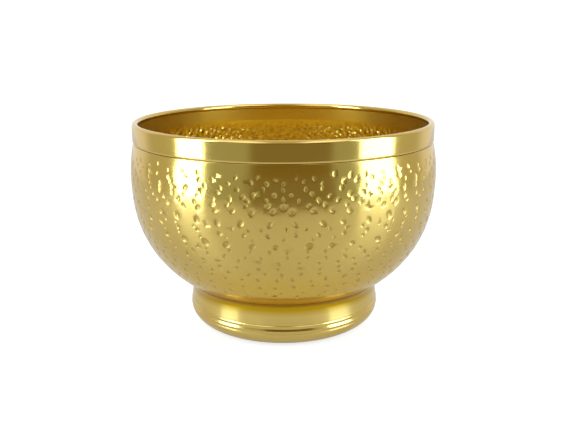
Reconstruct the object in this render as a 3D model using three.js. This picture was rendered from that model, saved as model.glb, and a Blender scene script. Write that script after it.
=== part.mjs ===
// A hammered brass bowl on a low foot, in millimetres.
// +Z is up, the bowl turns about the Z axis and its foot stands on z = 0.
//
// Five pieces of sheet and wire work: the bowl itself, raised from one sheet; a smooth band round its
// rim, rolled over at the top into a thick lip; the wire inside that lip; a spun foot; and the brazed
// seam that holds the foot under the bowl. Every piece is a ring of one outline about the Z axis.

import * as THREE from "three";

// Hammered bowl
const bodyRadius = 102.8; // widest outside radius
const bellyDepth = 92.4; // from the widest ring down to the outside of the round bottom
const bellyFullness = 2.44; // exponent of the belly curve: 2 is an ellipse, more is squarer
const shoulderHeight = 21.8; // from the widest ring up to the lower edge of the rim band
const shellWall = 1.2; // thickness of the bowl's sheet

// Rim band and the lip rolled on it
const rimRadius = 100.5; // outside radius of the band
const bandHeight = 12.9; // from the band's lower edge to the top of the lip
const bandWall = 1; // thickness of the band's strip
const lipRadius = 2.1; // outside radius of the rolled lip's section
const bandEdgeHeight = 1.4; // how far up the rounding of the band's lower edge reaches
const bandEdgeDepth = 0.8; // how far in it reaches
const notchHeight = 0.45; // how far below the band the bowl's shoulder ends
const shoulderSetback = 0.4; // how far the top of the shoulder stays inside the band's face

// Foot
const footHeight = 28.6; // where the bowl's outside stands over the foot's neck
const neckRadius = 64.3; // outside radius of the foot at its neck
const neckHeight = 24.6; // height of the neck, the foot's narrowest ring
const neckFlare = 4; // how far the foot's top edge spreads past the neck, under the bowl
const flareBend = 1.25; // exponent of that spread
const footRadius = 65.7; // outside radius of the round bead
const beadRadius = 12.4; // radius of the bead's section
const beadTopAngle = 12.5; // degrees above the widest ring at which the bead meets the groove
const grooveWidth = 1; // height of the turned groove above the bead
const grooveDepth = 0.4; // depth of that groove
const beadLedge = 0.7; // how far the bead stands out past the foot of the cove
const coveBend = 1.6; // exponent of the cove between the groove and the neck
const footWall = 1.5; // thickness of the foot's sheet
const standWidth = 4; // width of the flat ring that the foot stands on

// Brazed seam inside the foot
const brazeWidth = 6; // how far the fillet reaches along the bowl's underside
const brazeDrop = 6.4; // how far it reaches down the foot's inner wall

// Fits
const fitGap = 0.3; // clearance between pieces that touch

// Fineness of the outlines
const turns = 64; // flat faces round each piece
const bellySteps = 12; // points along the belly curve
const shoulderSteps = 4; // points along the shoulder
const lipSteps = 10; // points round the rolled lip
const edgeSteps = 3; // points round the band's lower edge
const flareSteps = 3; // points from the foot's top edge down to its neck
const coveSteps = 4; // points along the cove
const beadSteps = 7; // points round the bead
const wireSides = 8; // sides of the lip wire's section

// An outline point: distance from the axis, then height.
function at(radius, height) {
  return new THREE.Vector2(radius, height);
}

// How far below the widest ring the bowl's outside lies at a given radius.
function bellyDropAt(radius) {
  return bellyDepth * Math.pow(1 - (radius / bodyRadius) ** 2, 1 / bellyFullness);
}

// Heights and radii that follow from the driving dimensions
const widestHeight = footHeight + bellyDropAt(neckRadius);
const bandBottom = widestHeight + shoulderHeight;
const lipTop = bandBottom + bandHeight;
const lipCentreHeight = lipTop - lipRadius;
const lipCentreRadius = rimRadius - lipRadius;
const wireRadius = lipRadius - bandWall - fitGap;
const collarRadius = rimRadius - bandWall - fitGap;
const collarTop = lipCentreHeight - wireRadius - fitGap;
const shoulderTop = bandBottom - notchHeight;
const collarFoot = bandBottom - fitGap;
const shoulderRadius = rimRadius - shoulderSetback;
const beadCentre = at(footRadius - beadRadius, beadRadius);

// Height of the bowl's underside at a given radius.
function undersideHeight(radius) {
  return widestHeight - bellyDropAt(radius);
}

// Unit direction of the stretch that starts at one point of an outline, or of the nearest stretch.
function directionAt(outline, index) {
  const start = THREE.MathUtils.clamp(index, 0, outline.length - 2);
  return outline[start + 1].clone().sub(outline[start]).normalize();
}

// Moves an open outline sideways by a distance, to the left of its direction, as a sheet's other
// face runs beside the first. Corners are mitred, so the sheet keeps its thickness.
function besideOutline(outline, distance) {
  return outline.map((point, i) => {
    const arriving = directionAt(outline, i - 1);
    const along = arriving.clone().add(directionAt(outline, i)).normalize();
    const side = at(-along.y, along.x);
    const mitre = side.dot(at(-arriving.y, arriving.x));
    return point.clone().addScaledVector(side, distance / mitre);
  });
}

// The point of a falling outline at a given height.
function pointAtHeight(outline, height) {
  const below = outline.findIndex((point) => point.y < height);
  const low = outline[below];
  const high = outline[below - 1];
  return high.clone().lerp(low, (high.y - height) / (high.y - low.y));
}

// Points of an arc in the outline's plane, from one angle to another, in degrees.
function arc(centre, radius, fromDegrees, toDegrees, steps) {
  const points = [];
  for (let i = 0; i <= steps; i += 1) {
    const angle = THREE.MathUtils.degToRad(THREE.MathUtils.lerp(fromDegrees, toDegrees, i / steps));
    points.push(at(centre.x + radius * Math.cos(angle), centre.y + radius * Math.sin(angle)));
  }
  return points;
}

// Turns an outline about the Z axis. The outline runs anticlockwise in the plane of radius and
// height, and starts and ends on the axis or closes on itself.
function turned(outline) {
  const geometry = new THREE.LatheGeometry(outline, turns);
  geometry.rotateX(Math.PI / 2);
  return geometry;
}

// A closed ring: the outline comes back to its first point.
function closedRing(outline) {
  return turned([...outline, outline[0].clone()]);
}

// Bowl: a round belly, a shoulder that draws in towards the rim, a small step down and a straight
// collar that stands inside the band. The inside runs beside the outside at the sheet's thickness.
function bowlShell() {
  const outside = [];
  for (let i = 0; i <= bellySteps; i += 1) {
    const angle = (Math.PI / 2) * (1 - i / bellySteps);
    const drop = bellyDepth * Math.pow(Math.sin(angle), 2 / bellyFullness);
    const radius = i === 0 ? 0 : bodyRadius * Math.cos(angle);
    outside.push(at(radius, widestHeight - drop));
  }
  for (let i = 1; i <= shoulderSteps; i += 1) {
    const share = i / shoulderSteps;
    const radius = THREE.MathUtils.lerp(bodyRadius, shoulderRadius, share * share);
    outside.push(at(radius, THREE.MathUtils.lerp(widestHeight, shoulderTop, share)));
  }
  outside.push(at(collarRadius, collarFoot));
  outside.push(at(collarRadius, collarTop));
  const inside = besideOutline(outside, shellWall);
  inside[0].x = 0;
  return turned([...outside, ...inside.reverse()]);
}

// Rim band: a smooth upright strip with a rounded lower edge. Its top is rolled over to the inside
// as a round lip, and the roll goes on until it meets the bowl's collar.
function rimBand() {
  const lipCentre = at(lipCentreRadius, lipCentreHeight);
  const bore = lipRadius - bandWall;
  const reach = (collarRadius - shellWall - fitGap - lipCentreRadius) / bore;
  const curl = 360 - THREE.MathUtils.radToDeg(Math.acos(reach));
  const edge = arc(at(0, 0), 1, -90, 0, edgeSteps).map((point) =>
    at(rimRadius - bandEdgeDepth * (1 - point.x), bandBottom + bandEdgeHeight * (1 + point.y)),
  );
  const outside = [...edge, ...arc(lipCentre, lipRadius, 0, curl, lipSteps)];
  const inside = [...arc(lipCentre, bore, curl, 0, lipSteps), at(rimRadius - bandWall, bandBottom)];
  return closedRing([...outside, ...inside]);
}

// Lip wire: a plain round wire bent into a hoop, lying in the rolled lip on the bowl's edge.
function lipWire() {
  return new THREE.TorusGeometry(lipCentreRadius, wireRadius, wireSides, turns);
}

// The foot's outer face, from its top edge down. The edge lies against the bowl's underside, and the
// sheet draws in below it to the neck. Then come a cove, the turned groove, the round bead and the
// flat ring it stands on.
function footOutside() {
  const edgeRadius = neckRadius + neckFlare;
  const edgeHeight = undersideHeight(edgeRadius) - fitGap;
  const flare = [];
  for (let i = 0; i < flareSteps; i += 1) {
    const share = i / flareSteps;
    const radius = neckRadius + neckFlare * Math.pow(1 - share, flareBend);
    flare.push(at(radius, THREE.MathUtils.lerp(edgeHeight, neckHeight, share)));
  }
  const bead = arc(beadCentre, beadRadius, beadTopAngle, -90, beadSteps);
  const grooveEdge = bead[0];
  const grooveTop = grooveEdge.y + grooveWidth;
  const coveFoot = grooveEdge.x - beadLedge;
  const cove = [];
  for (let i = 0; i <= coveSteps; i += 1) {
    const share = i / coveSteps;
    const radius = THREE.MathUtils.lerp(neckRadius, coveFoot, Math.pow(share, coveBend));
    cove.push(at(radius, THREE.MathUtils.lerp(neckHeight, grooveTop, share)));
  }
  const groove = at(coveFoot - grooveDepth, grooveEdge.y + grooveWidth / 2);
  return [...flare, ...cove, groove, ...bead, at(beadCentre.x - standWidth, 0)];
}

// A falling outline inside the foot's outer face, cut off where it meets the bowl's underside.
function footLayer(depth) {
  const layer = besideOutline(footOutside(), -depth);
  const clearance = (point) => undersideHeight(point.x) - fitGap - point.y;
  const next = layer.findIndex((point) => clearance(point) > 0);
  const above = clearance(layer[next - 1]);
  const meets = layer[next - 1].clone().lerp(layer[next], above / (above - clearance(layer[next])));
  return [meets, ...layer.slice(next)];
}

// Foot: under the bowl it draws in to a neck, opens in a cove to a turned groove, swells into a
// round bead, and turns in below to the flat ring that it stands on.
function footRing() {
  return closedRing([...footLayer(footWall), ...footOutside().reverse()]);
}

// Brazed seam: a fillet with a hollow face, in the corner between the foot's inner wall and the
// underside of the bowl.
function footBraze() {
  const wall = footLayer(footWall + fitGap);
  const corner = wall[0];
  const low = pointAtHeight(wall, corner.y - brazeDrop);
  const beside = wall.filter((point) => point.y < corner.y && point.y > low.y).reverse();
  const tipRadius = corner.x - brazeWidth;
  const tip = at(tipRadius, undersideHeight(tipRadius) - fitGap);
  const hollow = corner.clone().add(low).add(tip).divideScalar(3);
  return closedRing([corner, tip, hollow, low, ...beside]);
}

// Finishes
function finish(colour, roughness) {
  return new THREE.MeshStandardMaterial({ color: colour, roughness: roughness, metalness: 1 });
}

function piece(name, geometry, material) {
  const mesh = new THREE.Mesh(geometry, material);
  mesh.name = name;
  return mesh;
}

const bowl = new THREE.Group();
bowl.name = "footed_bowl";

const shell = piece("bowl_shell", bowlShell(), finish(0xd6b25a, 0.3));
bowl.add(shell);

const rim = new THREE.Group();
rim.name = "rim";
rim.add(piece("rim_band", rimBand(), finish(0xdcbc6a, 0.2)));
const wire = piece("lip_wire", lipWire(), finish(0x8b8d90, 0.4));
wire.position.z = lipCentreHeight;
rim.add(wire);
bowl.add(rim);

const foot = new THREE.Group();
foot.name = "foot";
foot.add(piece("foot_ring", footRing(), finish(0xd4ae52, 0.22)));
foot.add(piece("foot_braze", footBraze(), finish(0xc2a878, 0.5)));
bowl.add(foot);

export default bowl;
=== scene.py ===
# %% [markdown]
# # A hammered brass bowl on a spun foot
#
# The bowl is sheet work: one raised sheet with punched dents, a smooth band soldered round its rim
# and rolled over a wire into a thick lip, and a low foot spun on the lathe and brazed on below.
# The construction model gives every piece its true size and place. This lesson gives each piece the
# surface that an eye would see: rounded edges, turned lines, dents in the metal, and its finish.
#
# First the construction model is loaded. Its pieces are kept, and their boxes give some of the
# sizes.

# %% Load the construction model
import bpy
import math
import random
import numpy as np
from mathutils import Matrix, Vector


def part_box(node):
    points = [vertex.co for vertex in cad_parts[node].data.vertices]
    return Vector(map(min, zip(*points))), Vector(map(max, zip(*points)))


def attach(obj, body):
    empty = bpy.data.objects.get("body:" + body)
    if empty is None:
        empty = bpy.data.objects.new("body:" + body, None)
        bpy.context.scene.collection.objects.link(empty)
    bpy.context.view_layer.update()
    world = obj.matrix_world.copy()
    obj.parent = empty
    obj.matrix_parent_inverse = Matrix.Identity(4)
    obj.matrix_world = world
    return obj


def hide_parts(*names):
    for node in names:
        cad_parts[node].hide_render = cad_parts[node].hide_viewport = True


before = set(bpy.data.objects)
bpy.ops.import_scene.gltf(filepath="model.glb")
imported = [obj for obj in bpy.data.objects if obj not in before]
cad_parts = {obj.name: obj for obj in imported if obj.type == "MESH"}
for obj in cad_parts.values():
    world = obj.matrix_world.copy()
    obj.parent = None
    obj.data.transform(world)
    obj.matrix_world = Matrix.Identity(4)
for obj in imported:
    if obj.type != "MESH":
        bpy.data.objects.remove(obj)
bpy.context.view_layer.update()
print("nodes:", sorted(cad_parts))

# %% [markdown]
# ## The camera
#
# The camera looks slightly down on the bowl from half a metre away. Its place, tilt and lens were
# found by fitting the circles of the rim, the band, the foot's groove and the foot's base to the
# photograph. The small roll lifts the right side of the bowl by a pixel.

# %% Camera
mm = 0.001
camera_place = (3.3 * mm, -486.4 * mm, 198.1 * mm)
camera_tilt = math.radians(75.26)
camera_roll = math.radians(-0.18)
camera_lens = 44.87

bpy.ops.object.camera_add()
camera = bpy.context.object
camera.name = "camera"
camera.matrix_world = (
    Matrix.Translation(camera_place)
    @ Matrix.Rotation(camera_tilt, 4, "X")
    @ Matrix.Rotation(camera_roll, 4, "Z")
)
camera.data.lens = camera_lens
camera.data.clip_start = 0.01
bpy.context.scene.camera = camera
print("camera looks from", [round(c, 3) for c in camera.location])

# %% [markdown]
# ## The driving sizes
#
# Sizes that the construction model can tell are read from its boxes. The others, such as the wall
# and the fullness of the belly, are the same named sizes that the construction model was drawn
# with, here in metres. Three things are softer here than there, as the photograph shows them: the
# bend of the foot's flare, the ledge over its bead, and the groove. That model also leaves a clear
# gap between pieces that touch. Where an eye would see the gap from outside, the pieces here are
# drawn almost closed.

# %% Sizes
shell_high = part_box("bowl_shell")[1]
rim_low, rim_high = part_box("rim_band")
foot_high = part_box("foot_ring")[1]

body_radius = shell_high.x
band_bottom = rim_low.z
lip_top = rim_high.z
rim_radius = rim_high.x
foot_edge_radius = foot_high.x

belly_depth = 92.4 * mm
belly_fullness = 2.44
shoulder_height = 21.8 * mm
shell_wall = 1.2 * mm
band_wall = 1 * mm
lip_radius = 2.1 * mm
band_edge_height = 1.4 * mm
band_edge_depth = 0.8 * mm
shoulder_setback = 0.4 * mm
neck_radius = 64.3 * mm
neck_height = 24.6 * mm
flare_bend = 2.3
foot_radius = 65.7 * mm
bead_radius = 12.4 * mm
bead_top_angle = math.radians(12.5)
bead_ledge = 0.3 * mm
groove_width = 1 * mm
groove_depth = 0.12 * mm
cove_bend = 1.6
foot_wall = 1.5 * mm
stand_width = 4 * mm
braze_width = 6 * mm
braze_drop = 6.4 * mm
fit_gap = 0.3 * mm
closed_gap = 0.05 * mm

widest_height = band_bottom - shoulder_height
shoulder_radius = rim_radius - shoulder_setback
lip_height = lip_top - lip_radius
lip_circle = rim_radius - lip_radius
lip_bore = lip_radius - band_wall
wire_radius = lip_bore - fit_gap
collar_radius = rim_radius - band_wall - fit_gap
collar_top = lip_height - wire_radius - fit_gap
print("over the belly", round(2 * body_radius / mm, 1), "mm")
print("high", round(lip_top / mm, 1), "mm")

# %% [markdown]
# ## Outlines
#
# Every piece of this bowl is turned, so each is drawn first as an outline: points that hold a
# distance from the axis and a height. Three small helpers serve them: one draws arcs, one tells
# which way is out at each point, so that the other face of a sheet can be drawn beside an outline,
# and one measures how far along the outline each point lies.


# %% Outline helpers
def arc(centre, radius, start, end, steps):
    """Points of an arc round a centre, from one angle to another, in degrees."""
    angles = np.radians(np.linspace(start, end, steps + 1))
    across = centre[0] + radius * np.cos(angles)
    up = centre[1] + radius * np.sin(angles)
    return np.column_stack((across, up))


def outward(outline):
    """Unit normals of an outline that rises with its metal on the left."""
    along = np.gradient(outline, axis=0)
    along /= np.linalg.norm(along, axis=1)[:, None]
    return np.column_stack((along[:, 1], -along[:, 0]))


def lengths_along(outline):
    """How far along the outline each of its points lies."""
    steps = np.linalg.norm(np.diff(outline, axis=0), axis=1)
    return np.concatenate(([0], np.cumsum(steps)))


quarter = arc((0, 0), 10, 0, 90, 64)
print("a quarter of a 10 mm circle is", round(lengths_along(quarter)[-1], 2), "mm long")

# %% [markdown]
# ## The bowl's outline
#
# The belly is a rounded curve a little squarer than an ellipse. Above its widest ring a shoulder
# draws in towards the rim, then the sheet steps back and stands up as a collar inside the band.


# %% The bowl's outline
def belly_drop(radius):
    """How far below the widest ring the bowl's outside lies at a radius."""
    return belly_depth * (1 - (radius / body_radius) ** 2) ** (1 / belly_fullness)


def underside(radius):
    """Height of the bowl's outside at a radius below the widest ring."""
    return widest_height - belly_drop(radius)


turn = np.linspace(math.pi / 2, 0, 600)
belly = np.column_stack(
    (
        body_radius * np.cos(turn),
        widest_height - belly_depth * np.sin(turn) ** (2 / belly_fullness),
    )
)
belly[0, 0] = 0
rise = np.linspace(0, 1, 120)[1:]
shoulder = np.column_stack(
    (
        body_radius + (shoulder_radius - body_radius) * rise**2,
        widest_height + (band_bottom - 2 * closed_gap - widest_height) * rise,
    )
)
collar = [(collar_radius, band_bottom - closed_gap), (collar_radius, collar_top)]
bowl_outline = np.vstack((belly, shoulder, collar))
bowl_arc = lengths_along(bowl_outline)
shoulder_arc = bowl_arc[len(belly) + len(shoulder) - 1]
step_arc = bowl_arc[-2]
collar_arc = bowl_arc[-1]
print("from the bottom to the collar's edge:", round(collar_arc / mm, 1), "mm along the outline")

# %% [markdown]
# ## Where the punch fell
#
# The smith worked round the bowl in rows, roughly one blow above the other, and close together near
# the rim. A blow leaves a small flat floor with a wall round it. Each row below says how far up the
# outline it runs, how many blows it has, how wide they are, how much of that is floor, how steep the
# walls are and how much the blows stray. Long blows come from a punch held askew. The random
# numbers come from one seed, so the bowl is the same each time.


# %% A dent, and the rows of dents
# the polishing wheel reaches walls up to this steepness, and less and less over this much more;
# steeper walls stay rougher and are painted a darker tone, as painted shade
dull_and_shade_from = 0.22
dull_and_shade_over = 0.25


class Dent:
    """One punch mark: its place on the outline, and its size."""

    def __init__(self, angle, place, radius, floor, steepness, depth, stretch, lean):
        self.angle = angle
        self.place = place
        self.radius = radius
        self.floor = floor
        self.dullness_and_shade = (steepness - dull_and_shade_from) / dull_and_shade_over
        self.depth = depth
        self.stretch = stretch
        self.lean = lean


# place in mm along the outline, blows, radius in mm, share of floor, steepness,
# stray round and up in mm, stretch upwards
rows = (
    (171.4, 58, 1.4, 0.25, 0.34, 2.2, 1.5, 1.2),
    (168.0, 62, 1.6, 0.25, 0.36, 2.2, 1.3, 1.1),
    (164.6, 56, 1.5, 0.25, 0.36, 2.4, 1.3, 1.3),
    (161.4, 60, 1.7, 0.25, 0.38, 2.2, 1.1, 1.1),
    (158.2, 64, 1.5, 0.25, 0.38, 1.7, 0.9, 1.4),
    (155.0, 58, 1.6, 0.25, 0.40, 1.6, 0.8, 1.2),
    (151.8, 58, 1.9, 0.25, 0.44, 1.5, 0.7, 1.0),
    (144.8, 44, 2.2, 0.15, 0.46, 1.6, 0.6, 1.1),
    (141.6, 56, 1.1, 0.20, 0.36, 3.0, 1.2, 1.1),
    (138.0, 44, 1.7, 0.15, 0.46, 1.6, 0.6, 1.1),
    (135.0, 40, 1.1, 0.20, 0.40, 3.0, 1.2, 1.0),
    (131.0, 42, 2.4, 0.40, 0.50, 2.6, 0.7, 0.9),
    (127.2, 56, 1.2, 0.20, 0.44, 3.0, 1.0, 1.0),
    (123.4, 54, 1.3, 0.20, 0.45, 2.4, 1.1, 1.3),
    (119.4, 54, 1.4, 0.20, 0.45, 2.4, 0.9, 1.0),
    (115.0, 52, 1.4, 0.20, 0.46, 2.4, 0.9, 1.0),
    (110.4, 56, 1.3, 0.20, 0.46, 2.4, 1.1, 1.2),
    (105.0, 56, 1.3, 0.20, 0.46, 2.4, 1.2, 1.0),
    (98.6, 54, 1.3, 0.20, 0.45, 2.6, 1.3, 1.0),
    (92.4, 46, 1.2, 0.20, 0.38, 2.6, 1.2, 1.0),
    (87.0, 34, 1.0, 0.20, 0.34, 3.0, 1.2, 1.0),
)
# degrees from the front to one blow of a row, for rows that keep the same columns
starts = {151.8: -3.0, 144.8: -4.2, 138.0: -4.2, 131.0: -1.0}
print(len(rows), "rows of dents,", sum(row[1] for row in rows), "blows")

# %% Where each blow fell
# the front lies at this angle, in degrees
front = -90
# how far single blows differ, as shares of their row's values
sizes_vary = (0.78, 1.22)
depths_vary = (0.8, 1.15)
stretches_vary = (0.85, 1.2)
leans_vary = (-0.35, 0.35)
# a wall drawn by the gentle step is this much steeper in its middle than on average
steeper_in_middle = 1.5
chance = random.Random(1907)
dents = []
for row, (place, blows, radius, floor, steepness, stray, wander, stretch) in enumerate(rows):
    round_here = np.interp(place * mm, bowl_arc, bowl_outline[:, 0]) / mm
    start = chance.uniform(0, 0.25) + 0.5 * (row % 2)
    if place in starts:
        start = (front + starts[place]) * blows / 360
    for blow in range(blows):
        angle = 2 * math.pi * (blow + start) / blows + chance.gauss(0, stray / 2) / round_here
        size = chance.uniform(*sizes_vary)
        wall_width = (1 - floor) * radius * size
        dents.append(
            Dent(
                angle=angle % (2 * math.pi),
                place=(place + chance.gauss(0, wander / 2)) * mm,
                radius=radius * size * mm,
                floor=floor,
                steepness=steepness,
                depth=steepness * wall_width / steeper_in_middle * chance.uniform(*depths_vary) * mm,
                stretch=stretch * chance.uniform(*stretches_vary),
                lean=chance.uniform(*leans_vary),
            )
        )
print("the widest dent is", round(2 * max(dent.radius for dent in dents) / mm, 1), "mm across")

# %% [markdown]
# ## From a tube to a bowl
#
# A sheet this large would need millions of faces to be as fine everywhere as a dent needs. So the
# bowl starts as a straight tube: its height is the length of the outline, up the outside, over the
# collar's edge and down the inside. The faces near each dent are then cut finer, and those in the
# pit itself finest of all. Only then does a formula lay the tube on the bowl and press every dent
# into it. On the inside each dent shows as a soft bump.


# %% Helpers for editing by hand
def nothing_selected():
    """Deselects every object, because an operator works on all that is selected."""
    for item in list(bpy.context.selected_objects):
        item.select_set(False)


def edit(piece, mode="VERT"):
    """Opens a piece in edit mode, with its vertices, edges or faces to be selected."""
    bpy.context.view_layer.objects.active = piece
    bpy.ops.object.mode_set(mode="EDIT")
    bpy.ops.mesh.select_mode(type=mode)


def positions(piece):
    """The piece's vertices as an array."""
    flat = np.empty(len(piece.data.vertices) * 3)
    piece.data.vertices.foreach_get("co", flat)
    return flat.reshape(-1, 3)


print("at the start", len(bpy.context.selected_objects), "objects are selected")
nothing_selected()
print("now", len(bpy.context.selected_objects), "are")

# %% A tube as long as the bowl's outline
bowl_sides = 172
# the first ring stands this far from the pole in the middle of the bottom
pole_ring = 4 * mm
plain_step = 5 * mm
dent_step = 3.6 * mm
# a ring this far on each side keeps a corner of the outline crisp
corner = 0.25 * mm
# the dents lie between these places on the outline
first_dent = 84 * mm
last_dent = 175 * mm


def even(start, end, step):
    """Evenly spaced places from start to end, about a step apart."""
    return np.linspace(start, end, max(2, round((end - start) / step) + 1))


rings = np.concatenate(
    (
        even(pole_ring, first_dent, plain_step)[:-1],
        even(first_dent, last_dent, dent_step),
        [shoulder_arc - corner, shoulder_arc + corner, step_arc - corner, step_arc + corner],
        even(step_arc + corner, collar_arc, plain_step)[1:],
    )
)
tube_heights = np.concatenate((rings, 2 * collar_arc + shell_wall - rings[::-1]))

nothing_selected()
bpy.ops.mesh.primitive_circle_add(
    vertices=bowl_sides, radius=body_radius, location=(0, 0, tube_heights[0])
)
bowl = bpy.context.object
bowl.name = "hammered_bowl"
bpy.ops.object.transform_apply()
edit(bowl)
bpy.ops.mesh.select_all(action="SELECT")
bpy.ops.mesh.edge_face_add()
bpy.ops.mesh.poke()
bpy.ops.mesh.select_all(action="DESELECT")
bpy.ops.object.mode_set(mode="OBJECT")
foot_of_tube = positions(bowl)
on_ring = np.hypot(foot_of_tube[:, 0], foot_of_tube[:, 1]) > body_radius / 2
bowl.data.vertices.foreach_set("select", on_ring)
edit(bowl)
bpy.ops.mesh.select_mode(type="EDGE")
print("the tube starts with", len(foot_of_tube), "vertices")

# %% Pull the tube up, ring by ring, and close its top
for rise in np.diff(tube_heights):
    bpy.ops.mesh.extrude_edges_move(TRANSFORM_OT_translate={"value": (0, 0, rise)})
bpy.ops.mesh.edge_face_add()
bpy.ops.mesh.select_mode(type="FACE")
bpy.ops.mesh.poke()
bpy.ops.mesh.select_all(action="SELECT")
bpy.ops.mesh.normals_make_consistent(inside=False)
bpy.ops.object.mode_set(mode="OBJECT")
print("the tube has", len(bowl.data.polygons), "faces in", len(tube_heights) - 1, "rows")

# %% [markdown]
# A place on the tube is an angle and a height. The helpers below turn the height into a place on
# the outline, on the outside or the inside of the sheet, and measure how far points lie from a
# dent, counted in the dent's own radius. Faces are cut up to three times, each time closer by. The
# inside, which shows only soft bumps, is cut once.


# %% Places on the sheet, and how far they lie from a dent
def place_on_sheet(points):
    """Angle, place along the outline, and whether the point is on the inside of the sheet."""
    angle = np.arctan2(points[:, 1], points[:, 0])
    inside = points[:, 2] > collar_arc + shell_wall / 2
    place = np.where(inside, 2 * collar_arc + shell_wall - points[:, 2], points[:, 2])
    at_pole = np.hypot(points[:, 0], points[:, 1]) < body_radius / 2
    place[at_pole] = 0
    return angle, place, inside


mark_angle = np.array([dent.angle for dent in dents])
mark_place = np.array([dent.place for dent in dents])
mark_radius = np.array([dent.radius for dent in dents])
mark_floor = np.array([dent.floor for dent in dents])
mark_dullness_and_shade = np.array([dent.dullness_and_shade for dent in dents])
mark_depth = np.array([dent.depth for dent in dents])
mark_stretch = np.array([dent.stretch for dent in dents])
mark_lean = np.array([dent.lean for dent in dents])


def distance_from_dent(angle, place, marks):
    """How far points lie from dents, as a share of each dent's radius."""
    turned_by = (angle - mark_angle[marks] + math.pi) % (2 * math.pi) - math.pi
    across = turned_by * np.interp(place, bowl_arc, bowl_outline[:, 0]) / mark_radius[marks]
    up = (place - mark_place[marks]) / mark_radius[marks]
    return np.hypot(across + mark_lean[marks] * up, up / mark_stretch[marks])


def close_pairs(angle, place, reach, margin=0):
    """Every pair of a point and a dent that lie within reach and a margin of each other."""
    order = np.argsort(place)
    sorted_place = place[order]
    points, marks = [], []
    for mark in range(len(dents)):
        limit = reach + margin / mark_radius[mark]
        span = limit * mark_radius[mark] * mark_stretch[mark]
        first, last = np.searchsorted(sorted_place, (mark_place[mark] - span, mark_place[mark] + span))
        there = order[first:last]
        close = there[distance_from_dent(angle[there], place[there], mark) < limit]
        points.append(close)
        marks.append(np.full(len(close), mark))
    return np.concatenate(points), np.concatenate(marks)


lowest_mark = round(mark_place.min() / mm)
highest_mark = round(mark_place.max() / mm)
print("the dents lie from", lowest_mark, "to", highest_mark, "mm along the outline")


# %% Finer faces near each dent
def cut_near_dents(piece, margin, both_sides):
    """Halves the faces whose middle lies within a margin of a dent, outside or on both sides."""
    centres = np.empty(len(piece.data.polygons) * 3)
    piece.data.polygons.foreach_get("center", centres)
    angle, place, inside = place_on_sheet(centres.reshape(-1, 3))
    chosen = np.zeros(len(angle), bool)
    chosen[close_pairs(angle, place, 1, margin)[0]] = True
    if not both_sides:
        chosen &= ~inside
    edit(piece, "FACE")
    bpy.ops.mesh.select_all(action="DESELECT")
    bpy.ops.object.mode_set(mode="OBJECT")
    piece.data.polygons.foreach_set("select", chosen)
    edit(piece, "FACE")
    bpy.ops.mesh.subdivide(number_cuts=1)
    bpy.ops.object.mode_set(mode="OBJECT")


# margin around each dent, and whether the inside is cut as well
cuts = ((1.3 * mm, True), (0.45 * mm, False), (0.05 * mm, False))
for margin, both_sides in cuts:
    cut_near_dents(bowl, margin, both_sides)
edit(bowl, "FACE")
bpy.ops.mesh.select_all(action="SELECT")
bpy.ops.mesh.quads_convert_to_tris(quad_method="BEAUTY", ngon_method="BEAUTY")
bpy.ops.object.mode_set(mode="OBJECT")
print("after cutting:", len(bowl.data.polygons), "triangles")

# %% [markdown]
# ## Laying the tube on the bowl
#
# A pit has a flat floor and a wall that begins and ends gently, and the sheet around it sinks a
# little in a wider dish. The inside shows only that dish, as a low bump, and runs smoothly past the
# step in the outside. The hand-worked sheet is never quite round either: it waves by less than a
# tenth of a millimetre each way, more often round the bowl than up it. The surface normals are
# worked out from the same formula, so reflections in the polished metal run smoothly over faces of
# unequal size.

# %% The outside and the inside of the sheet
# the inner face follows the outline averaged over this length to each side
softened_over = 3.5 * mm

outline_normals = outward(bowl_outline)
outline_normals[0] = (0, -1)
outer_sheet = np.column_stack((bowl_outline, outline_normals))
longer_arc = np.concatenate(([-softened_over], bowl_arc, [collar_arc + softened_over]))
longer_sheet = np.vstack((outer_sheet[0], outer_sheet, outer_sheet[-1]))
longer_sheet[0, 0] -= softened_over
longer_sheet[-1, 1] += softened_over


def softened(values):
    """Averages values along the outline, as the inner face of a sheet does at a small step."""
    shifts = np.linspace(-softened_over, softened_over, 15)
    return sum(np.interp(bowl_arc + shift, longer_arc, values) for shift in shifts) / len(shifts)


inner_sheet = np.column_stack([softened(values) for values in longer_sheet.T])
print("the inner face is known at", len(inner_sheet), "places of the outline")

# %% The formula of the hammered sheet
# the soft dish round a dent reaches this far, in radii, and this share of it shows inside
dish_reach = 1.5
inner_bump = 0.75
# the depth of a dent is shared between its pit and its dish
pit_share = 0.85
dish_share = 0.15
# the waves begin over this length above the first dent, and end over this length at the shoulder
waves_begin_over = 12 * mm
waves_end_over = 9 * mm

# waves round the bowl, waves up the hammered stretch, height in mm, phase
waves = (
    (31, 0.9, 0.018, 0.4),
    (43, -1.7, 0.013, 2.1),
    (58, 1.1, 0.009, 4.0),
    (19, 2.3, 0.022, 1.2),
    (7, -1.2, 0.025, 5.1),
)


def ease(share):
    """A share from 0 to 1 that starts and ends gently."""
    return share * share * (3 - 2 * share)


def sheet_waves(angle, place):
    """How far the unevenness of the sheet sinks it, only where the sheet was hammered."""
    into = np.clip((place - first_dent) / waves_begin_over, 0, 1)
    out = np.clip((shoulder_arc - place) / waves_end_over, 0, 1)
    share = place / (last_dent - first_dent)
    total = 0
    for around, along, height, phase in waves:
        total += height * mm * (1 + np.sin(around * angle + 2 * math.pi * along * share + phase))
    return total * ease(into) * ease(out)


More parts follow.
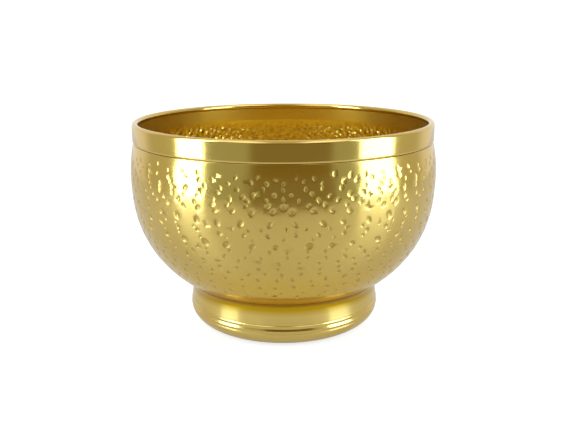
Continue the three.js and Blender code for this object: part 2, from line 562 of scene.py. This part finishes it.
def dent_shape(angle, place, pairs, inside):
    """How far the dents sink the outside, or raise the inside, and where they stay rough and carry
    painted shade.
    """
    points, marks = pairs
    away = distance_from_dent(angle[points], place[points], marks)
    floor = mark_floor[marks]
    pit = 1 - ease(np.clip((away - floor) / (1 - floor), 0, 1))
    dish = (1 - np.clip(away / dish_reach, 0, 1) ** 2) ** 2
    sink = np.where(inside[points], inner_bump * dish, pit_share * pit + dish_share * dish)
    sunk = np.bincount(points, weights=sink * mark_depth[marks], minlength=len(angle))
    # roughest, with the most painted shade, low on the wall, and a little less on the floor itself
    dull_and_shade = 4 * pit * (1 - 0.75 * pit) * mark_dullness_and_shade[marks]
    return sunk, np.minimum(np.bincount(points, weights=dull_and_shade, minlength=len(angle)), 1)


def hammered_surface(angle, place, inside, pairs):
    """Points of the hammered sheet, how deep a dent is there, and how much it is a rough wall with
    painted shade.
    """
    outer = [np.interp(place, bowl_arc, values) for values in outer_sheet.T]
    inner = [np.interp(place, bowl_arc, values) for values in inner_sheet.T]
    radius, height, out, up = np.where(inside, inner, outer)
    size = np.hypot(out, up)
    dented, wall = dent_shape(angle, place, pairs, inside)
    sunk = dented + sheet_waves(angle, place) + np.where(inside, shell_wall, 0)
    radius = radius - sunk * out / size
    height = height - sunk * up / size
    surface = np.column_stack((radius * np.cos(angle), radius * np.sin(angle), height))
    return surface, dented, wall


print("the sheet's waves add up to", round(sum(wave[2] for wave in waves), 3), "mm each way")

# %% Lay the tube on the bowl
# dents are looked for a little beyond their dish, so that a point's neighbours find them as well
spare_reach = 0.1
angle, place, inside = place_on_sheet(positions(bowl))
pairs = close_pairs(angle, place, dish_reach + spare_reach)
surface, dented, wall = hammered_surface(angle, place, inside, pairs)

# how far the neighbours lie from which a normal is worked out
nudge = 0.03 * mm
turn_nudge = nudge / np.maximum(np.interp(place, bowl_arc, bowl_outline[:, 0]), mm)
round_from = hammered_surface(angle - turn_nudge, place, inside, pairs)[0]
round_to = hammered_surface(angle + turn_nudge, place, inside, pairs)[0]
up_from = hammered_surface(angle, place - nudge, inside, pairs)[0]
up_to = hammered_surface(angle, place + nudge, inside, pairs)[0]
normals = np.cross(round_to - round_from, up_to - up_from)
normals[place < mm] = (0, 0, -1)
normals /= np.linalg.norm(normals, axis=1)[:, None]
normals[inside] *= -1

bowl.data.vertices.foreach_set("co", surface.ravel())
wall_here = bowl.data.attributes.new("dent_wall", "FLOAT", "POINT")
wall_here.data.foreach_set("value", np.where(inside, 0, wall))
inside_here = bowl.data.attributes.new("inside", "FLOAT", "POINT")
inside_here.data.foreach_set("value", inside.astype(float))
bowl.data.update()
bpy.ops.object.shade_smooth()
bowl.data.normals_split_custom_set_from_vertices(normals)
edit(bowl, "VERT")
bpy.ops.mesh.select_all(action="DESELECT")
bpy.ops.mesh.select_non_manifold()
bpy.ops.object.mode_set(mode="OBJECT")
open_points = sum(vertex.select for vertex in bowl.data.vertices)
print("the deepest dent is", round(dented.max() / mm, 2), "mm; open points:", open_points)

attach(bowl, "root")
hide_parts("bowl_shell")

# %% [markdown]
# ## Pieces turned from an outline
#
# The band, the wire, the foot and the brazed seam are each one closed outline turned about the
# axis. A single vertex is extruded along the outline, point by point, and the chain is then spun.
# Spin is the tool that works as the lathe does. The seam where the spin meets its start is merged,
# and the faces are made to look outwards.


# %% A helper that turns an outline
# points nearer than this are one point
same_point = 0.002 * mm


def turned_piece(name, outline, sides=256, sharp=32):
    """Spins a closed outline of distances from the axis and heights about the Z axis."""
    nothing_selected()
    bpy.ops.mesh.primitive_plane_add(size=mm, location=(outline[0][0], 0, outline[0][1]))
    piece = bpy.context.object
    piece.name = name
    bpy.ops.object.transform_apply()
    edit(piece)
    bpy.ops.mesh.select_all(action="SELECT")
    bpy.ops.mesh.merge(type="CENTER")
    for out, up in np.diff(np.vstack((outline, outline[:1])), axis=0):
        bpy.ops.mesh.extrude_vertices_move(TRANSFORM_OT_translate={"value": (out, 0, up)})
    bpy.ops.mesh.select_all(action="SELECT")
    bpy.ops.mesh.spin(steps=sides, angle=2 * math.pi, center=(0, 0, 0), axis=(0, 0, 1))
    bpy.ops.mesh.select_all(action="SELECT")
    bpy.ops.mesh.remove_doubles(threshold=same_point)
    bpy.ops.mesh.normals_make_consistent(inside=False)
    bpy.ops.mesh.select_all(action="DESELECT")
    bpy.ops.mesh.select_non_manifold()
    bpy.ops.object.mode_set(mode="OBJECT")
    bpy.ops.object.shade_smooth_by_angle(angle=math.radians(sharp))
    open_points = sum(vertex.select for vertex in piece.data.vertices)
    print(name, "has", len(piece.data.polygons), "faces; open points:", open_points)
    return piece


# %% [markdown]
# ## The rim band
#
# A smooth strip stands round the rim. Its lower edge is rounded over, and that round catches the
# light from the paper as one bright line. Its top is rolled inwards over the wire, and the roll runs
# on until it meets the bowl's collar.

# %% Rim band
lip_centre = (lip_circle, lip_height)
curl = 360 - math.degrees(math.acos((collar_radius - shell_wall - fit_gap - lip_circle) / lip_bore))
round_edge = arc((1, 1), 1, -90, 0, 14) * (band_edge_depth, band_edge_height)
band_outline = np.vstack(
    (
        round_edge + (rim_radius - 2 * band_edge_depth, band_bottom),
        [(rim_radius, lip_height - lip_radius)],
        arc(lip_centre, lip_radius, 0, curl, 48),
        arc(lip_centre, lip_bore, curl, 0, 32),
        [(rim_radius - band_wall, band_bottom)],
    )
)
band = turned_piece("polished_rim_band", band_outline)
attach(band, "root")
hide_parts("rim_band")

# %% [markdown]
# ## The lip wire
#
# The lip is thick because it is rolled over a wire, which keeps the rim stiff. No eye reaches the
# wire, so a plain round section is enough. A curve with a bevel would do as well, but the helper
# that turns an outline makes it in one call.

# %% Lip wire
wire_outline = arc(lip_centre, wire_radius, 0, 360, 20)[:-1]
wire = turned_piece("drawn_lip_wire", wire_outline, sides=192)
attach(wire, "root")
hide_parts("lip_wire")

# %% [markdown]
# ## The foot
#
# The foot was spun on a lathe. Its top edge spreads under the bowl and draws in to a neck. Below the
# neck it opens in a long shallow cove, then comes a shallow turned groove with a small ledge under
# it, and then a full round bead that two hollows divide. The hollows' lower flanks look a little
# upwards, into the dark end of the room, and show as two dark lines. So that the lines are not
# too thin, each flank is half straight and half rounded.

# %% The foot's outline
bead_centre = (foot_radius - bead_radius, bead_radius)
groove_low = bead_radius * (1 + math.sin(bead_top_angle))
groove_edge = bead_centre[0] + bead_radius * math.cos(bead_top_angle)
groove_top = groove_low + groove_width
cove_foot = groove_edge - bead_ledge
edge_height = underside(foot_edge_radius) - closed_gap

# height of its middle, width, depth
hollows = ((13.35 * mm, 3.2 * mm, 0.56 * mm), (10.3 * mm, 2.6 * mm, 0.44 * mm))
lowest_hollow = 9 * mm
# the inside has no groove and no hollows, and its bead starts at this angle, in degrees
inner_bead_top = 10


def bead_point(height):
    """The bead's face at a height, with the two hollows turned into it."""
    radius = bead_centre[0] + math.sqrt(bead_radius**2 - (height - bead_radius) ** 2)
    for middle, width, depth in hollows:
        away = abs(height - middle) / (width / 2)
        if away < 1:
            straight = 1 - away
            rounded = (1 + math.cos(math.pi * away)) / 2
            radius -= depth * (straight + rounded) / 2
    return radius, height


share = np.linspace(0, 1, 17)
flare = np.column_stack(
    (
        neck_radius + (foot_edge_radius - neck_radius) * (1 - share) ** flare_bend,
        edge_height + (neck_height - edge_height) * share,
    )
)
share = np.linspace(0, 1, 25)
cove = np.column_stack(
    (
        neck_radius + (cove_foot - neck_radius) * share**cove_bend,
        neck_height + (groove_top - neck_height) * share,
    )
)
share = np.linspace(0, 1, 9)
groove = np.column_stack(
    (
        cove_foot + bead_ledge * share**2 - groove_depth * np.sin(math.pi * share),
        groove_top - groove_width * share,
    )
)
upper_bead = [bead_point(height) for height in np.linspace(groove_low, lowest_hollow, 70)]
lower_start = math.degrees(math.asin((lowest_hollow - bead_radius) / bead_radius))
lower_bead = arc(bead_centre, bead_radius, lower_start, -90, 24)
stand_edge = bead_centre[0] - stand_width
foot_outside = np.vstack(
    (flare[:-1], cove[:-1], groove[:-1], upper_bead, lower_bead[1:], [(stand_edge, 0)])
)
plain_foot = np.vstack((flare[:-1], cove, arc(bead_centre, bead_radius, inner_bead_top, -90, 32)))


def foot_layer(depth):
    """The foot's outline at a depth in its sheet, cut off where it meets the bowl."""
    layer = plain_foot - depth * outward(plain_foot[::-1])[::-1]
    clear = underside(layer[:, 0]) - closed_gap - layer[:, 1]
    low = np.argmax(clear > 0)
    part = clear[low] / (clear[low] - clear[low - 1])
    return np.vstack((layer[low] + part * (layer[low - 1] - layer[low]), layer[low:]))


foot_inside = np.vstack((foot_layer(foot_wall), [(stand_edge, foot_wall)]))
foot = turned_piece("spun_foot", np.vstack((foot_outside, foot_inside[::-1])))
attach(foot, "root")
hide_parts("foot_ring")

# %% [markdown]
# ## The brazed seam
#
# Inside the foot a fillet of brazing metal runs round the corner under the bowl. Filler metal draws
# itself into a hollow face, and it is never quite even, so its face ripples a little as it goes
# round.

# %% Brazed seam
ripple_height = 0.12 * mm
ripple_inset = 0.05 * mm
# ripples round the seam, in two sets that never quite agree
ripple_counts = (53, 31)
# a point this near the hollow face belongs to it
near_face = 0.02 * mm

wall_line = foot_layer(foot_wall + fit_gap)
seam_corner = wall_line[0]
low_height = seam_corner[1] - braze_drop
seam_low = np.array((np.interp(-low_height, -wall_line[:, 1], wall_line[:, 0]), low_height))
tip_radius = seam_corner[0] - braze_width
seam_tip = np.array((tip_radius, underside(tip_radius) - fit_gap))
beside_wall = wall_line[1:][wall_line[1:, 1] > low_height][::-1]
middle = (seam_corner + seam_tip + seam_low) / 3
bend = np.linspace(0, 1, 11)[:, None]
face = (1 - bend) ** 2 * seam_low + 2 * bend * (1 - bend) * middle + bend**2 * seam_tip
under_bowl = np.linspace(seam_tip[0], seam_corner[0], 7)[1:-1]
top = np.column_stack((under_bowl, [underside(radius) - fit_gap for radius in under_bowl]))
seam = turned_piece("brazed_seam", np.vstack((seam_corner[None], top[::-1], face[::-1], beside_wall)))
seam_points = positions(seam)
seam_radius = np.hypot(seam_points[:, 0], seam_points[:, 1])
seam_angle = np.arctan2(seam_points[:, 1], seam_points[:, 0])
on_face = np.zeros(len(seam_points), bool)
for radius, height in face[1:-1]:
    on_face |= np.hypot(seam_radius - radius, seam_points[:, 2] - height) < near_face
ripple = ripple_height * sum(
    np.sin(count * seam_angle + 2 * turn) for turn, count in enumerate(ripple_counts)
)
ripple += ripple_inset
outwards = ripple * on_face / seam_radius
seam_points[:, 0] -= seam_points[:, 0] * outwards
seam_points[:, 1] -= seam_points[:, 1] * outwards
seam.data.vertices.foreach_set("co", seam_points.ravel())
seam.data.update()
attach(seam, "root")
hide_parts("foot_braze")

# %% [markdown]
# ## Recipes for finishes
#
# A finish is a small graph of nodes. To keep it readable, a recipe adds any node in one call, and a
# value that changes over the surface can be used in plain sums: each sign adds one Math node.


# %% Values
class Value:
    """A number that changes over the surface. A sum with it adds a Math node to its recipe."""

    def __init__(self, recipe, socket):
        self.recipe = recipe
        self.socket = socket

    def maths(self, operation, first, second):
        node = self.recipe.node("ShaderNodeMath", {"operation": operation}, {0: first, 1: second})
        return Value(self.recipe, node.outputs[0])

    def __add__(self, other):
        return self.maths("ADD", self, other)

    def __radd__(self, other):
        return self.maths("ADD", other, self)

    def __sub__(self, other):
        return self.maths("SUBTRACT", self, other)

    def __rsub__(self, other):
        return self.maths("SUBTRACT", other, self)

    def __mul__(self, other):
        return self.maths("MULTIPLY", self, other)

    def __rmul__(self, other):
        return self.maths("MULTIPLY", other, self)

    def __truediv__(self, other):
        return self.maths("DIVIDE", self, other)

    def __rtruediv__(self, other):
        return self.maths("DIVIDE", other, self)

    def __pow__(self, other):
        return self.maths("POWER", self, other)

    def __rpow__(self, other):
        return self.maths("POWER", other, self)


print("a value knows the signs + - * / and **")


# %% Recipes
class Recipe:
    """Writes one graph of nodes, for a finish or for the world."""

    def __init__(self, tree):
        self.tree = tree
        tree.nodes.clear()

    def node(self, kind, settings=None, sockets=None):
        """Adds a node, makes its settings, then sets or links its sockets."""
        made = self.tree.nodes.new(kind)
        for name, setting in (settings or {}).items():
            if name == "stops":
                self.set_stops(made.color_ramp, setting)
            else:
                setattr(made, name, setting)
        for name, value in (sockets or {}).items():
            if isinstance(value, Value):
                self.tree.links.new(value.socket, made.inputs[name])
            elif isinstance(value, bpy.types.NodeSocket):
                self.tree.links.new(value, made.inputs[name])
            else:
                made.inputs[name].default_value = value
        return made

    def set_stops(self, ramp, stops):
        """Gives a colour ramp its stops, each a place and a colour."""
        ramp.elements.remove(ramp.elements[1])
        ramp.elements[0].position = stops[0][0]
        ramp.elements[0].color = (*stops[0][1], 1)
        for place, colour in stops[1:]:
            ramp.elements.new(place).color = (*colour, 1)

    def value(self, kind, settings=None, sockets=None, output=0):
        """Adds a node and gives its output as a value for sums."""
        return Value(self, self.node(kind, settings, sockets).outputs[output])

    def blend(self, factor, first, second):
        """A colour between two colours."""
        sockets = {0: factor, 6: first, 7: second}
        return self.node("ShaderNodeMix", {"data_type": "RGBA"}, sockets).outputs[2]


def finish_recipe(name):
    """A new material and the recipe that writes it."""
    material = bpy.data.materials.new(name)
    material.use_nodes = True
    return material, Recipe(material.node_tree)


print("a recipe adds nodes, blends of colours and values")

# %% [markdown]
# ## Brass
#
# Polished brass has no colour of its own apart from what it does to a reflection, so its finish is
# a warm reflection colour and a low roughness. What makes it real is small: the tone drifts a
# little over the sheet, handling leaves faint clouds that dull the polish, and every piece carries
# the marks of how it was made: lines from the lathe, a brushed band, or punched dents whose walls
# the polishing wheel did not reach, so they are rougher. Those walls are also painted a darker
# tone, as painted shade for the dark reflections in the pits. The wheel reached the inside of the
# bowl even less: there the metal is rougher, and small knobs cover it below the rim. The inside is
# also painted a deeper, brighter gold, as a painted reflection of the light that runs between its
# walls. The foot is painted towards a brighter tone, as painted light that makes up for the
# shadowed paper it reflects. The bowl's underside is painted a lighter orange and the foot's neck a
# darker one, as painted reflections of the two in each other: each setting holds the height where
# this is full, the height where it ends, and its colour.

# %% Tones of brass
brass_tone = (0.625, 0.435, 0.116, 1)
pale_tone = (0.655, 0.462, 0.130, 1)
red_tone = (0.595, 0.405, 0.098, 1)
# painted shade: dent walls are darkened with this tone, standing in for the dark reflections in the
# pits
painted_pit_shade_tone = (0.45, 0.31, 0.075, 1)
# painted light: a brighter tone that lifts the foot, which reflects paper shadowed by the bowl
painted_light_tone = (0.80, 0.58, 0.17, 1)
# painted reflection: the lighter orange of brass seen in the bowl's underside near the foot
painted_underside_reflection_tone = (0.73, 0.47, 0.030, 1)
# painted reflection and shade: the darker orange of brass seen in the foot's neck
painted_neck_reflection_tone = (0.54, 0.32, 0.005, 1)
# painted reflection: the deeper, brighter gold of light that runs between the inside walls
painted_inside_reflection_tone = (0.69, 0.485, 0.075, 1)

# how much the darker painted shade tone shows on the walls of dents, and the painted reflection tone
# inside
pit_shade_share = 0.75
inside_reflection_share = 0.9
# how much rougher than the rest these places are
inside_rougher = 0.15
wall_rougher = 0.36
print("brass reflects red, green and blue in shares of", brass_tone[:3])

# %% Sizes of the patterns in brass
# noise patterns: how many to the metre, and how much detail
drift_size = {"Scale": 16, "Detail": 3}
cloud_size = {"Scale": 90, "Detail": 5}
grain_size = {"Scale": 900, "Detail": 2}
# turned lines change this many times in a metre of their own course
line_changes = 9
# roughness is this much of a finish's own, more in clouds of wear and on turned lines
rough_least = 0.7
rough_in_clouds = 0.4
rough_on_lines = 0.25
grain_depth = 0.0012 * mm
cloud_depth = 0.012 * mm
# the knobs inside: how many to the metre, how high, and between which heights they fade
knobs_to_the_metre = 270
knob_height = 1.0 * mm
knobs_fade_at_rim = {"From Min": 126 * mm, "From Max": 119 * mm}
knobs_fade_at_floor = {"From Min": 25 * mm, "From Max": 45 * mm}
print("the knobs inside are about", round(1 / knobs_to_the_metre / mm, 1), "mm wide")


# %% The recipe of brass
def brass(name, roughness, painted_light_share=0, line_depth=0, line_pitch=700, painted_reflection=None, hammered=False):
    """Brass with clouds of wear, and lines that run round the axis where it was turned."""
    material, recipe = finish_recipe(name)
    place = recipe.node("ShaderNodeTexCoord").outputs["Object"]
    split = recipe.node("ShaderNodeSeparateXYZ", sockets={0: place})
    x, y, z = (Value(recipe, output) for output in split.outputs)
    from_axis = (x * x + y * y) ** 0.5
    drift = recipe.value("ShaderNodeTexNoise", sockets={"Vector": place, **drift_size})
    cloud = recipe.value("ShaderNodeTexNoise", sockets={"Vector": place, **cloud_size})
    grain = recipe.value("ShaderNodeTexNoise", sockets={"Vector": place, **grain_size})
    round_axis = recipe.node(
        "ShaderNodeCombineXYZ",
        sockets={0: from_axis * line_pitch, 1: z * line_pitch, 2: (x + y) * line_changes},
    )
    lines = recipe.value(
        "ShaderNodeTexNoise", sockets={"Vector": round_axis.outputs[0], "Scale": 1, "Detail": 3}
    )
    tone = recipe.blend(drift, red_tone, pale_tone)
    tone = recipe.blend(cloud * 0.5, tone, brass_tone)
    # painted light: the tone is lifted towards the brighter tone
    if painted_light_share:
        tone = recipe.blend(painted_light_share, tone, painted_light_tone)
    # painted reflection: between two heights the tone turns to the orange that bowl and foot reflect
    # in each other
    if painted_reflection:
        full, gone, hue = painted_reflection
        span = {"Value": z, "From Min": gone, "From Max": full}
        tone = recipe.blend(recipe.value("ShaderNodeMapRange", sockets=span), tone, hue)
    rough = roughness * (rough_least + rough_in_clouds * cloud + rough_on_lines * lines)
    if hammered:
        wall = recipe.value("ShaderNodeAttribute", {"attribute_name": "dent_wall"}, output="Fac")
        inside = recipe.value("ShaderNodeAttribute", {"attribute_name": "inside"}, output="Fac")
        rough = rough + wall_rougher * wall + inside_rougher * inside
        # painted shade: dent walls are darkened towards the pit shade tone
        tone = recipe.blend(pit_shade_share * wall, tone, painted_pit_shade_tone)
        # painted reflection: the inside is blended towards the inside reflection tone
        tone = recipe.blend(inside_reflection_share * inside, tone, painted_inside_reflection_tone)
    marks = lines * line_depth + grain * grain_depth + cloud * cloud_depth
    if hammered:
        knobs = recipe.value(
            "ShaderNodeTexVoronoi", sockets={"Vector": place, "Scale": knobs_to_the_metre}
        )
        below_rim = recipe.value("ShaderNodeMapRange", sockets={"Value": z, **knobs_fade_at_rim})
        above_floor = recipe.value("ShaderNodeMapRange", sockets={"Value": z, **knobs_fade_at_floor})
        marks = marks + knob_height * below_rim * above_floor * inside * (1 - knobs)
    bump = recipe.node("ShaderNodeBump", sockets={"Strength": 1.0, "Distance": 1.0, "Height": marks})
    surface = recipe.node(
        "ShaderNodeBsdfPrincipled",
        sockets={"Base Color": tone, "Metallic": 1.0, "Roughness": rough, "Normal": bump.outputs[0]},
    )
    recipe.node("ShaderNodeOutputMaterial", sockets={"Surface": surface.outputs[0]})
    return material


print("brass can be written")

# %% [markdown]
# ## Bare metal
#
# The wire and the brazed seam are hidden, and nobody polished them. Two tones in patches and a fine
# grain are enough for them.


# %% The recipe of bare metal
def dull_metal(name, colour, worn_colour, roughness, grain_scale):
    """Bare metal that nobody polished, with a grain and darker patches."""
    material, recipe = finish_recipe(name)
    place = recipe.node("ShaderNodeTexCoord").outputs["Object"]
    patches = recipe.value("ShaderNodeTexNoise", sockets={"Vector": place, "Scale": 120, "Detail": 4})
    grain = recipe.value("ShaderNodeTexNoise", sockets={"Vector": place, "Scale": grain_scale})
    bump = recipe.node("ShaderNodeBump", sockets={"Distance": 0.0001, "Height": grain})
    surface = recipe.node(
        "ShaderNodeBsdfPrincipled",
        sockets={
            "Base Color": recipe.blend(patches, colour, worn_colour),
            "Metallic": 1.0,
            "Roughness": roughness + 0.2 * patches,
            "Normal": bump.outputs[0],
        },
    )
    recipe.node("ShaderNodeOutputMaterial", sockets={"Surface": surface.outputs[0]})
    return material


print("bare metal can be written")

# %% The finish of each piece
braze_tone = (0.50, 0.40, 0.20, 1)
burnt_tone = (0.25, 0.16, 0.07, 1)
steel_tone = (0.45, 0.45, 0.46, 1)
stained_tone = (0.25, 0.24, 0.23, 1)
# painted reflections: each gives the height where it is full, the height where it ends, and its colour
bowl_painted_reflection = (36 * mm, 62 * mm, painted_underside_reflection_tone)
foot_painted_reflection = (25.8 * mm, 21.2 * mm, painted_neck_reflection_tone)

finishes = {
    bowl: brass("punched_brass", 0.145, painted_reflection=bowl_painted_reflection, hammered=True),
    band: brass("brushed_band_brass", 0.13, line_depth=0.0012 * mm, line_pitch=1500),
    # the foot carries painted light, and a painted reflection near its neck
    foot: brass(
        "turned_foot_brass", 0.16, painted_light_share=0.4, line_depth=0.001 * mm, line_pitch=1100, painted_reflection=foot_painted_reflection
    ),
    seam: dull_metal("brazing_metal", braze_tone, burnt_tone, 0.35, 1400),
    wire: dull_metal("drawn_steel", steel_tone, stained_tone, 0.3, 2200),
}
for piece, finish in finishes.items():
    piece.data.materials.clear()
    piece.data.materials.append(finish)
    print(piece.name, "is finished in", finish.name)

# %% [markdown]
# ## The studio
#
# Polished metal shows its surroundings, so the studio matters more than the lamps. The bowl stands
# on a sheet of white paper that ends less than half a metre in front of it. Beyond the paper, on
# the camera's side, the room is dim and warm. It is grey at the sides, pale further back and white
# behind. The ceiling is pale, with bright lights in it to the left and the right, and a tall
# softbox stands on each side. The world paints the room by direction for reflections only: it
# lights the scene with an even white, and behind the bowl the camera sees plain white.

# %% Colours of the room
scene = bpy.context.scene
scene.view_settings.view_transform = "Standard"
room_white = (1.0, 1.0, 1.0)
room_pale = (0.68, 0.68, 0.56)
room_grey = (0.50, 0.55, 0.46)
room_dim = (0.315, 0.27, 0.145)
room_wood = (0.28, 0.21, 0.055)
room_dark = (0.15, 0.11, 0.04)
ceiling = (0.74, 0.70, 0.48)
ceiling_lights = (1.9, 2.0, 2.4)

# degrees round the bowl from the front, and what stands there
round_the_room = (
    (-180, room_white),
    (-124, room_white),
    (-113, room_pale),
    (-84, room_pale),
    (-74, room_grey),
    (80, room_grey),
    (92, room_pale),
    (114, room_pale),
    (126, room_white),
    (180, room_white),
)
# height of the direction, from -1 straight down to 1 straight up, and what is seen in front
up_the_front = (
    (-1.0, room_dim),
    (0.04, room_dim),
    (0.14, room_wood),
    (0.27, room_wood),
    (0.34, room_dark),
    (0.55, room_dark),
    (0.75, ceiling),
    (1.0, ceiling),
)
# how far the ceiling leans towards the camera, and between which heights it sets in
overhead_lean = 0.35
overhead_begins = 0.75
overhead_ends = 0.95
# how far aside the ceiling's lights set in and are full, as the square of the direction's x
lights_begin = 0.004
lights_full = 0.07
# the dark front reaches from here to here, in degrees, and its edges are this soft
front_begins = -27
front_ends = 32
front_edge = 7
print("the room has", len(round_the_room), "stops round it and", len(up_the_front), "up its front")

# %% World
world = bpy.data.worlds.new("studio")
scene.world = world
world.use_nodes = True
recipe = Recipe(world.node_tree)
direction = recipe.node("ShaderNodeTexCoord").outputs["Generated"]
split = recipe.node("ShaderNodeSeparateXYZ", sockets={0: direction})
x, y, z = (Value(recipe, output) for output in split.outputs)
azimuth = recipe.value("ShaderNodeMath", {"operation": "ARCTAN2"}, {0: x, 1: 0 - y})
sides = recipe.node(
    "ShaderNodeValToRGB",
    {"stops": [(0.5 + degrees / 360, colour) for degrees, colour in round_the_room]},
    {0: azimuth / (2 * math.pi) + 0.5},
)
ahead = recipe.node(
    "ShaderNodeValToRGB",
    {"stops": [(0.5 + height / 2, colour) for height, colour in up_the_front]},
    {0: z * 0.5 + 0.5},
)


def smooth_step(value, start, end):
    """Rises smoothly from 0 to 1 while a value goes from start to end."""
    sockets = {"Value": value, "From Min": start, "From Max": end}
    return recipe.value("ShaderNodeMapRange", {"interpolation_type": "SMOOTHSTEP"}, sockets)


past_left = smooth_step(azimuth, math.radians(front_begins), math.radians(front_begins + front_edge))
past_right = smooth_step(azimuth, math.radians(front_ends), math.radians(front_ends + front_edge))
room = recipe.blend(past_left - past_right, sides.outputs[0], ahead.outputs[0])
overhead = smooth_step(z - overhead_lean * y, overhead_begins, overhead_ends)
aside = smooth_step(x * x, lights_begin, lights_full)
over = recipe.blend(aside, (*ceiling, 1), (*ceiling_lights, 1))
room = recipe.blend(overhead, room, over)
path = recipe.node("ShaderNodeLightPath")
glossy = Value(recipe, path.outputs["Is Glossy Ray"])
seen = recipe.blend(glossy, (1, 1, 1, 1), room)
background = recipe.node("ShaderNodeBackground", sockets={"Color": seen, "Strength": 1.0})
recipe.node("ShaderNodeOutputWorld", sockets={"Surface": background.outputs[0]})
print("world written with", len(world.node_tree.nodes), "nodes")

# %% [markdown]
# ## The softboxes
#
# A polished bowl shows a softbox as a bright upright streak, so each one stands where its streak
# is seen. Its light is a little blue, because brass takes most of the blue out of a reflection
# and the streaks are still nearly white.

# %% Softboxes
cool_light = (0.62, 0.78, 1.0)


def softbox(name, azimuth, width, low, high, radiance, distance=0.55):
    """A tall soft lamp that stands round the bowl at an angle from the front, facing its axis."""
    side = math.radians(azimuth)
    middle = (distance * math.sin(side), -distance * math.cos(side), (low + high) / 2)
    bpy.ops.object.light_add(type="AREA", location=middle)
    lamp = bpy.context.object
    lamp.name = name
    lamp.rotation_euler = (math.radians(90), 0, side)
    lamp.data.shape = "RECTANGLE"
    lamp.data.size = width
    lamp.data.size_y = high - low
    lamp.data.energy = radiance * math.pi * width * (high - low)
    lamp.data.color = cool_light
    lamp.visible_camera = False
    return lamp


# degrees round the bowl from the front, width, height of the low and high edge, and brightness
lamps = [
    softbox("left_softbox", -64.3, 0.215, -0.05, 0.71, 9),
    softbox("right_softbox", 65.8, 0.27, 0.01, 0.56, 8),
]
print([(lamp.name, round(lamp.data.energy, 2)) for lamp in lamps])

# %% [markdown]
# ## The paper
#
# The paper is one large sheet. Its own colour is a plain grey, and light is added to it for the
# camera and for reflections, so that it is white and meets the white background without a line,
# while the bowl's soft shadow stays.

# %% Paper
paper_front = -0.445
paper_back = 3.0
paper_side = 0.6
paper_grey = (0.35, 0.35, 0.35, 1)
# how much light is added for the camera, and for reflections
camera_lift = 0.69
mirror_lift = 0.265
nothing_selected()
bpy.ops.mesh.primitive_plane_add(size=1)
paper = bpy.context.object
paper.name = "paper"
edit(paper)
bpy.ops.mesh.select_all(action="SELECT")
bpy.ops.transform.resize(value=(2 * paper_side, paper_back - paper_front, 1))
bpy.ops.transform.translate(value=(0, (paper_back + paper_front) / 2, 0))
bpy.ops.mesh.subdivide(number_cuts=12)
bpy.ops.object.mode_set(mode="OBJECT")

paper_finish, recipe = finish_recipe("white_paper")
path = recipe.node("ShaderNodeLightPath")
ray_kinds = ("Is Camera Ray", "Is Glossy Ray", "Is Transmission Ray")
camera_ray, glossy_ray, clear_ray = (Value(recipe, path.outputs[kind]) for kind in ray_kinds)
lift = camera_lift * camera_ray + mirror_lift * (glossy_ray + clear_ray)
sheet = recipe.node(
    "ShaderNodeBsdfPrincipled",
    sockets={"Base Color": paper_grey, "Roughness": 0.4},
)
glow = recipe.node("ShaderNodeEmission", sockets={"Strength": lift})
both = recipe.node("ShaderNodeAddShader", sockets={0: sheet.outputs[0], 1: glow.outputs[0]})
recipe.node("ShaderNodeOutputMaterial", sockets={"Surface": both.outputs[0]})
paper.data.materials.append(paper_finish)
print("paper laid out")
